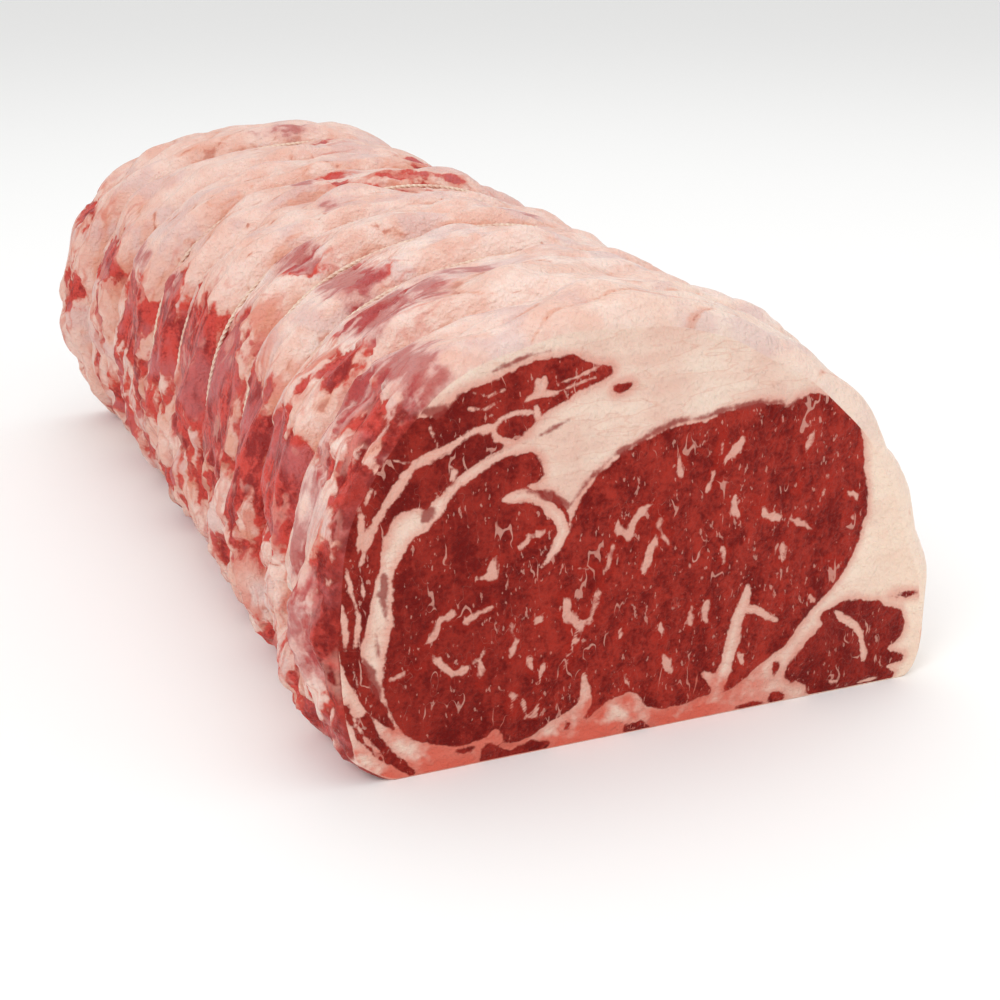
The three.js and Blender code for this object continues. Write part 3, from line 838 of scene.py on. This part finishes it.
def raw_beef():
    """Raw beef, cut with a knife at the ends and trimmed and rolled outside. The eye sees moist
    dark red lean with a fine grain, creamy fat that turns pink where it meets the lean, thin
    grey-violet silver skin, and a soft wet sheen over all of it."""
    name = "raw_beef_cut_and_trimmed"
    if name in bpy.data.materials:
        return bpy.data.materials[name]
    material, add = new_material(name)
    share, layers = functools.partial(share_where, add), functools.partial(layered, add)
    place = add("ShaderNodeTexCoord").node.outputs["Object"]
    stretched = {
        way: add("ShaderNodeMapping", {"Vector": place, "Rotation": (0, math.radians(turn), 0),
                 "Scale": tuple(factor / MM for factor in scale)})
        for way, (turn, scale) in STRETCHES.items()}
    soft = SimpleNamespace(**{
        key: add("ShaderNodeTexNoise", {"Vector": stretched[way], "Scale": 1 / size, "Detail": octaves},
                 normalize=False) for key, (size, way, octaves) in BEEF_NOISES.items()})
    # Where one of these noises changes sign it draws a thin curved line
    line = SimpleNamespace(**{
        key: add("ShaderNodeMath", {0: getattr(soft, key)}, operation="ABSOLUTE")
        for key in ("spur", "ridge", "web", "layer", "vein")})
    across, along, up = add("ShaderNodeSeparateXYZ", {0: stretched["plain"]}).node.outputs
    lean, fleck, silver, crease, cut = (
        add("ShaderNodeAttribute", attribute_name=field).node.outputs["Fac"] for field in FIELDS)

    # Where the lean ends: a frayed line on the skin, a crisp one on a cut
    on_skin = add("ShaderNodeMath", {0: 1, 1: cut}, operation="SUBTRACT")
    loose = weighted_sum(add, [(soft.string, 3), (soft.ripple, 2)])
    crisp = weighted_sum(add, [(soft.blotch, 0.8), (soft.ripple, 0.45), (soft.grain, 0.15)])
    wander = add("ShaderNodeMix", {0: cut, 2: loose, 3: crisp})
    edge = add("ShaderNodeMath", {0: lean, 1: wander}, operation="ADD")
    lean_share = add("ShaderNodeMix", {0: cut, 2: share(edge, -1.2, 0.8), 3: share(edge, -0.3, 0.3)})
    # Marbling: the larger runs with drawn-out corners, curved threads that fade in and out,
    # and a few flecks of about 1 mm; on the skin, a web of strings of fat
    run = share([(fleck, 1), (crisp, 1), (line.spur, -2)], -0.7, 0.05, (0, 0.9))
    thread = share([(share(soft.shown, 0.22, 0.6), 0.085), (line.ridge, -1)], -0.015, 0.03, (0, 0.6))
    speck = share([(soft.speck, 1), (soft.blotch, 0.25)], 0.5, 0.75, (0, 0.5))
    web = share([(line.web, 1), (soft.blotch, -0.4)], 0.17, 0, (0, 0.55),
                [on_skin, share(soft.webbed, -0.05, 0.3)])
    marbled = run
    for operation, other in (("MAXIMUM", thread), ("MAXIMUM", speck), ("MULTIPLY", cut), ("MAXIMUM", web)):
        marbled = add("ShaderNodeMath", {0: marbled, 1: other}, operation=operation)
    plain = add("ShaderNodeMath", {0: 1, 1: marbled}, operation="SUBTRACT")
    red_share = add("ShaderNodeMath", {0: lean_share, 1: plain}, operation="MULTIPLY")

    # Lean of a cut: redder round the marbling, darker in the corner muscle and the left lobe
    tone = weighted_sum(add, [(soft.patch, 0.2), (soft.band, 0.6), (soft.ripple, 0.4), (soft.grain, 0.42)])
    cut_lean = layers(
        "#6f0d08", share(tone, -0.65, 0.65), "#a83024",
        share([(fleck, 1), (soft.ripple, 1)], -2.2, -0.4, (0, 0.55)), "#a62416",
        share(across, 44, 54, limits=[share(up, 34, 27, (0, 0.35))]), "#6a0c08",
        share(across, -22, -48, (0, 0.28)), "#6a0f0b")
    # Lean of the skin: dusty in places and orange at its edges. It looks like a cut beside one.
    beside_cut = share([(soft.ripple, 6), (along, 1)], -162, -172, (0, 0.75))
    as_cut = add("ShaderNodeMath", {0: cut, 1: beside_cut}, operation="MAXIMUM")
    all_lean = layers(
        "#931d19", share([(soft.string, 0.7), (tone, 1)], -0.6, 0.4), "#d0453a",
        share([(soft.dust, 1), (soft.string, 0.2)], -0.1, 0.5, (0, 0.7)), "#c06868",
        share(edge, 2.2, 0, (0, 0.5)), "#d4543f",
        as_cut, cut_lean)
    # Fat of a cut lies in slanting folds. Fat of the skin is pinker to the back, rosy at the
    # far left and creamy at the front, with a lilac veil, and stains and veins beside lean.
    fat_tone = weighted_sum(add, [(soft.blotch, 0.6), (soft.ripple, 0.25), (soft.patch, 1)])
    cut_fat = layers(
        "#e6bfae", share([(fat_tone, 0.4), (soft.layer, 0.5)], -0.6, 0.6), "#f2dbca",
        share(line.layer, 0.06, 0, (0, 0.4)), "#dda894")
    skin_fat = layers(
        "#e9baa9", share(fat_tone, -0.7, 0.7), "#f4dace",
        share([(soft.patch, 60), (along, 1)], -120, 60, (0, 0.24)), "#dd9f8d",
        share([(soft.patch, 25), (across, 1)], -48, -80, (0, 0.08)), "#dd9483",
        share([(soft.patch, 40), (along, 1)], -115, -160, (0, 0.65), [share(across, -45, 25)]), "#f2dccc",
        share([(soft.string, 0.25), (soft.veil, 1)], 0.05, 0.5, (0, 0.45)), "#d5b4b2",
        share(soft.stain, 0.3, 0.5, (0, 0.6), [share(lean, -16, -3)]), "#d4694f",
        share(line.vein, 0.2, 0, limits=[share(lean, -14, -3, (0.05, 0.5))]), "#d1705f")
    # Both: coral at the foot of a cut, pale straw at the front right, pink beside lean, and
    # painted shade into the creases and folds, orange and then red at their bottom
    at_front = share([(soft.patch, 30), (along, 1)], -120, -165)
    all_fat = layers(
        skin_fat, cut, cut_fat,
        share([(soft.blotch, 14), (up, 1)], 16, 3, (0, 0.95), [cut, share(across, 66, 20)]), "#d9604c",
        share([(soft.patch, 12), (across, 1)], 50, 85, (0, 0.7), [at_front]), "#f9dfc9",
        share(edge, -3, 0.2, (0, 0.55)), "#d67c6b",
        # Painted shade in the creases and folds: orange near them, then red at their bottom
        share([(soft.string, 2.5), (soft.patch, 2), (crease, 1)], 2.6, 0.3, (0, 0.5), [on_skin]), "#dc9276",
        share([(soft.string, 1.2), (crease, 1)], 1.3, 0.4, (0, 0.6)), "#b9604a")
    # Silver skin is lilac at its rim and lets the dark lean show in its middle
    film = layers("#e0b0a8", share([(soft.string, 5), (soft.ripple, 2), (silver, 1)], -2, 4), "#b04848")
    colour = layers(
        all_fat, red_share, all_lean,
        share([(silver, 1), (soft.ripple, 1)], -2.5, 1.5, (0, 0.75), [on_skin]), film,
        share([(silver, 1), (crisp, 1)], -0.45, 0.6, (0, 0.85), [cut]), "#93362f")

    height = weighted_sum(add, [(soft.ripple, 0.5), (soft.grain, 0.35), (soft.string, 0.12)])
    bump = add("ShaderNodeBump", {"Height": height, "Strength": 0.7, "Distance": 0.9 * MM})
    # Lean is smoother than fat, and the cut is less wet than the skin
    surface = add("ShaderNodeBsdfPrincipled", {
        "Base Color": colour, "IOR": 1.4, "Normal": bump, "Specular IOR Level": 0.06,
        "Roughness": share([(soft.ripple, 0.6), (red_share, 1)], -0.3, 1.2, (0.46, 0.34)),
        "Subsurface Weight": 0.1, "Subsurface Radius": (1, 0.35, 0.22), "Subsurface Scale": 2 * MM,
        "Coat Weight": add("ShaderNodeMix", {0: as_cut, 2: 0.45, 3: 0.13}),
        "Coat Roughness": 0.2, "Coat Normal": bump})
    add("ShaderNodeOutputMaterial", {0: surface})
    return material


def cotton_twine(settings):
    """Undyed cotton twine, twisted from three plies and damp. The eye sees a matt pale straw
    that is pinker where it has soaked, with fine fluff."""
    material, add = new_material("twisted_cotton_twine")
    place = add("ShaderNodeTexCoord").node.outputs["Object"]
    fluff, stain = (add("ShaderNodeTexNoise", {"Vector": place, "Scale": 1 / (size * MM), "Detail": 3})
                    for size in (0.4, 14))
    soaked = add("ShaderNodeMapRange", {0: stain, 1: 0.45, 2: 0.7, 3: 0, 4: 0.6})
    colour = layered(add, "#e3c0a4", fluff, settings.colour, soaked, "#dca090")
    bump = add("ShaderNodeBump", {"Height": fluff, "Strength": 0.5, "Distance": 0.2 * MM})
    surface = add("ShaderNodeBsdfPrincipled", {"Base Color": colour, "Roughness": 0.75, "Normal": bump})
    add("ShaderNodeOutputMaterial", {0: surface})
    return material


def pale_board(settings):
    """Matt painted board: the eye sees a plain pale ground with no pattern."""
    material, add = new_material("matt_pale_board")
    surface = add("ShaderNodeBsdfPrincipled", {"Base Color": settings.floor_colour, "Roughness": 0.9})
    add("ShaderNodeOutputMaterial", {0: surface})
    return material


# Twine


def twine_tree():
    """Nodes that lay a twisted twine along every run of edges of a mesh."""
    tree = bpy.data.node_groups.new("twisted_twine", "GeometryNodeTree")
    add = functools.partial(add_node, tree)
    new_socket = tree.interface.new_socket
    new_socket("Path", in_out="INPUT", socket_type="NodeSocketGeometry")
    for name, value in (("Diameter", 1.5 * MM), ("Pitch", 6 * MM), ("Step", 0.9 * MM)):
        new_socket(name, in_out="INPUT", socket_type="NodeSocketFloat").default_value = value
    new_socket("Material", in_out="INPUT", socket_type="NodeSocketMaterial")
    new_socket("Twine", in_out="OUTPUT", socket_type="NodeSocketGeometry")
    given = add("NodeGroupInput").node.outputs
    curve = add("GeometryNodeMeshToCurve", {0: given["Path"]})
    curve = add("GeometryNodeResampleCurve", {"Curve": curve, "Length": given["Step"]}, mode="LENGTH")
    # A whole number of turns, so that a closed loop meets its own start
    length, factor = add("GeometryNodeSplineLength"), add("GeometryNodeSplineParameter")
    turns = add("ShaderNodeMath", {0: length, 1: given["Pitch"]}, operation="DIVIDE")
    turns = add("ShaderNodeMath", {0: turns}, operation="ROUND")
    angle = add("ShaderNodeMath", {0: turns, 1: factor}, operation="MULTIPLY")
    angle = add("ShaderNodeMath", {0: angle, 1: 2 * math.pi}, operation="MULTIPLY")
    curve = add("GeometryNodeSetCurveTilt", {"Curve": curve, "Tilt": angle})
    radius = add("ShaderNodeMath", {0: given["Diameter"], 1: 0.5}, operation="MULTIPLY")
    circle = add("GeometryNodeCurvePrimitiveCircle", {"Resolution": TWINE_SIDES, "Radius": radius})
    # The round section becomes plies: its radius swings once for each on the way round
    around = add("GeometryNodeSplineParameter")
    wave = add("ShaderNodeMath", {0: around, 1: PLIES * 2 * math.pi}, operation="MULTIPLY")
    wave = add("ShaderNodeMath", {0: wave}, operation="COSINE")
    swing = add("ShaderNodeMath", {0: wave, 1: PLY_SWING, 2: PLY_MEAN}, operation="MULTIPLY_ADD")
    spot = add("GeometryNodeInputPosition")
    spot = add("ShaderNodeVectorMath", {0: spot, 3: swing}, operation="SCALE")
    plies = add("GeometryNodeSetPosition", {"Geometry": circle, "Position": spot})
    twine = add("GeometryNodeCurveToMesh", {"Curve": curve, "Profile Curve": plies, "Fill Caps": True})
    twine = add("GeometryNodeRealizeInstances", {0: twine})
    twine = add("GeometryNodeSetMaterial", {"Geometry": twine, "Material": given["Material"]})
    add("NodeGroupOutput", {0: twine})
    return tree


def run_nodes(name, mesh, tree, values):
    """Runs a geometry tree on a mesh and returns the result as a plain object."""
    source = bpy.data.objects.new(name + "_path", mesh)
    bpy.context.scene.collection.objects.link(source)
    modifier = source.modifiers.new("nodes", "NODES")
    modifier.node_group = tree
    for socket in tree.interface.items_tree:
        if socket.in_out == "INPUT" and socket.name in values:
            modifier[socket.identifier] = values[socket.name]
    graph = bpy.context.evaluated_depsgraph_get()
    made = bpy.data.meshes.new_from_object(source.evaluated_get(graph))
    bpy.data.objects.remove(source)
    made.name = name
    return new_object(name, made)


def tie_path(i, settings):
    """Edges of the loop of tie i and of its knot, in metres."""
    cols = section_columns(PATH_STEP, PATH_STEP)
    radius = settings.diameter / MM / 2
    raised = TWINE_RAISED + TWINE_RAISED_RIGHT * smooth(*GROOVE_TURN, side_of(cols))
    loop = skin_points(cols, tie_at(i, cols), depth_at(cols) + groove_sink(cols) - radius - raised)
    loop[:, 2] = np.maximum(loop[:, 2], radius)
    points = (loop * MM).tolist()
    edges = [(k, (k + 1) % len(points)) for k in range(len(points))]
    # A knot low on the right side: a small bow over the loop, with a tail on each side
    at = int(np.argmin(np.abs(cols.from_crown + settings.knot_reach / MM)))
    middle = Vector(loop[at])
    out = Vector((cols.nx[at], 0, cols.nz[at]))
    down = Vector((cols.nz[at], 0, -cols.nx[at]))
    for way in np.linspace(-1, 1, KNOT_POINTS):
        tail = max(0, abs(way) - TAIL_FROM) / (1 - TAIL_FROM)
        turn = 2 * math.pi * KNOT_TURNS * way
        bow = KNOT_BOW * (1 - tail)
        along = bow * math.sin(turn) + TAIL_REACH * tail * math.copysign(1, way)
        drop = bow * KNOT_OVAL * math.cos(turn) + TAIL_DROP * tail * tail
        rise = KNOT_BASE + KNOT_WEAVE * math.cos(turn * WEAVE_TURNS) * (1 - tail)
        rise += TAIL_RISE * math.sin(min(1, tail * TAIL_HASTE) * TAIL_BEND)
        spot = middle + Vector((0, along, 0)) + down * drop + out * rise
        points.append(tuple(spot * MM))
    edges += [(k, k + 1) for k in range(len(loop), len(points) - 1)]
    mesh = bpy.data.meshes.new("tie_path")
    mesh.from_pydata(points, edges, [])
    return mesh


# Sizes and colours that a user would change


class RoastSettings(bpy.types.PropertyGroup):
    skin_step: bpy.props.FloatProperty(
        name="Skin step", description="Spacing of the mesh on the front of the roast",
        default=0.98 * MM, unit="LENGTH")
    back_step: bpy.props.FloatProperty(
        name="Back step", description="Spacing of the mesh on the rest of the roast",
        default=1.5 * MM, unit="LENGTH")
    under_step: bpy.props.FloatProperty(
        name="Underside step", description="Spacing of the mesh on the flat underside",
        default=1.4 * MM, unit="LENGTH")
    face_step: bpy.props.FloatProperty(
        name="Cut face step", description="Spacing of the rings on the main cut face",
        default=0.46 * MM, unit="LENGTH")
    relief: bpy.props.FloatProperty(
        name="Relief", description="Share of the fine lumps, folds and strings that is used",
        default=1, min=0, max=1, subtype="FACTOR")


class TwineSettings(bpy.types.PropertyGroup):
    diameter: bpy.props.FloatProperty(
        name="Diameter", description="Thickness of the twine", default=1.4 * MM, unit="LENGTH")
    pitch: bpy.props.FloatProperty(
        name="Pitch", description="Length of one full twist of the twine", default=6 * MM, unit="LENGTH")
    knot_reach: bpy.props.FloatProperty(
        name="Knot reach", description="Way round from the crown down the right side to the knots",
        default=152 * MM, unit="LENGTH")
    colour: bpy.props.FloatVectorProperty(
        name="Colour", description="Pale side of the cotton", size=4, subtype="COLOR",
        default=linear("#fbecdc"))


class StageSettings(bpy.types.PropertyGroup):
    floor_colour: bpy.props.FloatVectorProperty(
        name="Floor colour", description="Colour of the ground", size=4, subtype="COLOR",
        default=linear("#fbfbfa"))
    floor_size: bpy.props.FloatProperty(
        name="Floor size", description="Side of the square ground", default=14, unit="LENGTH")
    daylight: bpy.props.FloatProperty(
        name="Daylight", description="Strength of the light from all round", default=0.78)
    key_power: bpy.props.FloatProperty(
        name="Key power", description="Power of the main soft light", default=4.6, unit="POWER")


# Operators


class ROAST_OT_front(bpy.types.Operator):
    """Makes the front of the roast, with the main cut face and the first two lobes"""
    bl_idname = "roast.front"
    bl_label = "Front of the roast"

    def execute(self, context):
        settings = context.scene.roast
        lobes = range(SPLIT_TIE + 1)
        piece = meat_piece("roast_front", lobes, settings, settings.skin_step / MM,
                           settings.face_step / MM, True, False)
        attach(piece, "root")
        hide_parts("roast")
        return {"FINISHED"}


class ROAST_OT_back(bpy.types.Operator):
    """Makes the rest of the roast, behind the second loop of twine"""
    bl_idname = "roast.back"
    bl_label = "Back of the roast"

    def execute(self, context):
        settings = context.scene.roast
        lobes = range(SPLIT_TIE + 1, len(TIES) + 1)
        piece = meat_piece("roast_back", lobes, settings, settings.back_step / MM,
                           settings.back_step / MM, False, True)
        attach(piece, "root")
        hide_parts("roast")
        return {"FINISHED"}


class ROAST_OT_twine(bpy.types.Operator):
    """Ties a knotted loop of twine in each groove"""
    bl_idname = "roast.twine"
    bl_label = "Twine"

    def execute(self, context):
        settings = context.scene.roast_twine
        tree = twine_tree()
        material = cotton_twine(settings)
        values = {"Diameter": settings.diameter, "Pitch": settings.pitch, "Material": material}
        for i in range(len(TIES)):
            piece = run_nodes(f"twine_wrap_{i + 1}", tie_path(i, settings), tree, values)
            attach(piece, "root")
            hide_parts(f"twine_{i + 1}")
        bpy.data.node_groups.remove(tree)
        return {"FINISHED"}


class ROAST_OT_stage(bpy.types.Operator):
    """Makes the pale floor, the soft studio light and the camera"""
    bl_idname = "roast.stage"
    bl_label = "Stage"

    def execute(self, context):
        settings = context.scene.roast_stage
        scene = context.scene
        half = settings.floor_size / 2
        mesh = bpy.data.meshes.new("floor")
        mesh.from_pydata([(-half, -half, 0), (half, -half, 0), (half, half, 0), (-half, half, 0)], [],
                         [(0, 1, 2, 3)])
        mesh.materials.append(pale_board(settings))
        floor = bpy.data.objects.new("floor", mesh)
        scene.collection.objects.link(floor)

        world = bpy.data.worlds.new("studio")
        world.use_nodes = True
        world.node_tree.nodes["Background"].inputs["Color"].default_value = (1, 1, 1, 1)
        world.node_tree.nodes["Background"].inputs["Strength"].default_value = settings.daylight
        scene.world = world
        scene.view_settings.view_transform = "Standard"

        for name, (place, size, share) in LAMPS.items():
            data = bpy.data.lights.new(name, "AREA")
            data.size = size
            data.energy = settings.key_power * share
            lamp = bpy.data.objects.new(name, data)
            lamp.location = place
            lamp.rotation_euler = (Vector(LAMP_TARGET) - Vector(place)).to_track_quat("-Z", "Y").to_euler()
            scene.collection.objects.link(lamp)

        data = bpy.data.cameras.new("camera")
        data.sensor_width = SENSOR
        data.lens = CAMERA_LENS
        camera = bpy.data.objects.new("camera", data)
        camera.location = CAMERA_PLACE
        pitch, yaw = math.radians(CAMERA_PITCH), math.radians(CAMERA_YAW)
        camera.rotation_euler = (math.pi / 2 - pitch, 0, -yaw)
        scene.collection.objects.link(camera)
        scene.camera = camera
        return {"FINISHED"}


class ROAST_PT_panel(bpy.types.Panel):
    """Lists the roast's pieces and settings"""
    bl_label = "Rib roast"
    bl_idname = "ROAST_PT_panel"
    bl_space_type = "VIEW_3D"
    bl_region_type = "UI"
    bl_category = "Rib roast"

    def draw(self, context):
        for group in (context.scene.roast, context.scene.roast_twine, context.scene.roast_stage):
            box = self.layout.box()
            for name in group.bl_rna.properties.keys():
                if name not in ("rna_type", "name"):
                    box.prop(group, name)
        for operator in OPERATORS:
            self.layout.operator(operator.bl_idname)


OPERATORS = (ROAST_OT_front, ROAST_OT_back, ROAST_OT_twine, ROAST_OT_stage)
CLASSES = (RoastSettings, TwineSettings, StageSettings, *OPERATORS, ROAST_PT_panel)


def register():
    for made in CLASSES:
        bpy.utils.register_class(made)
    bpy.types.Scene.roast = bpy.props.PointerProperty(type=RoastSettings)
    bpy.types.Scene.roast_twine = bpy.props.PointerProperty(type=TwineSettings)
    bpy.types.Scene.roast_stage = bpy.props.PointerProperty(type=StageSettings)


def unregister():
    del bpy.types.Scene.roast_stage
    del bpy.types.Scene.roast_twine
    del bpy.types.Scene.roast
    for made in reversed(CLASSES):
        bpy.utils.unregister_class(made)


def main():
    register()
    bpy.ops.roast.front()
    bpy.ops.roast.back()
    bpy.ops.roast.twine()
    bpy.ops.roast.stage()


if __name__ == "__main__":
    main()
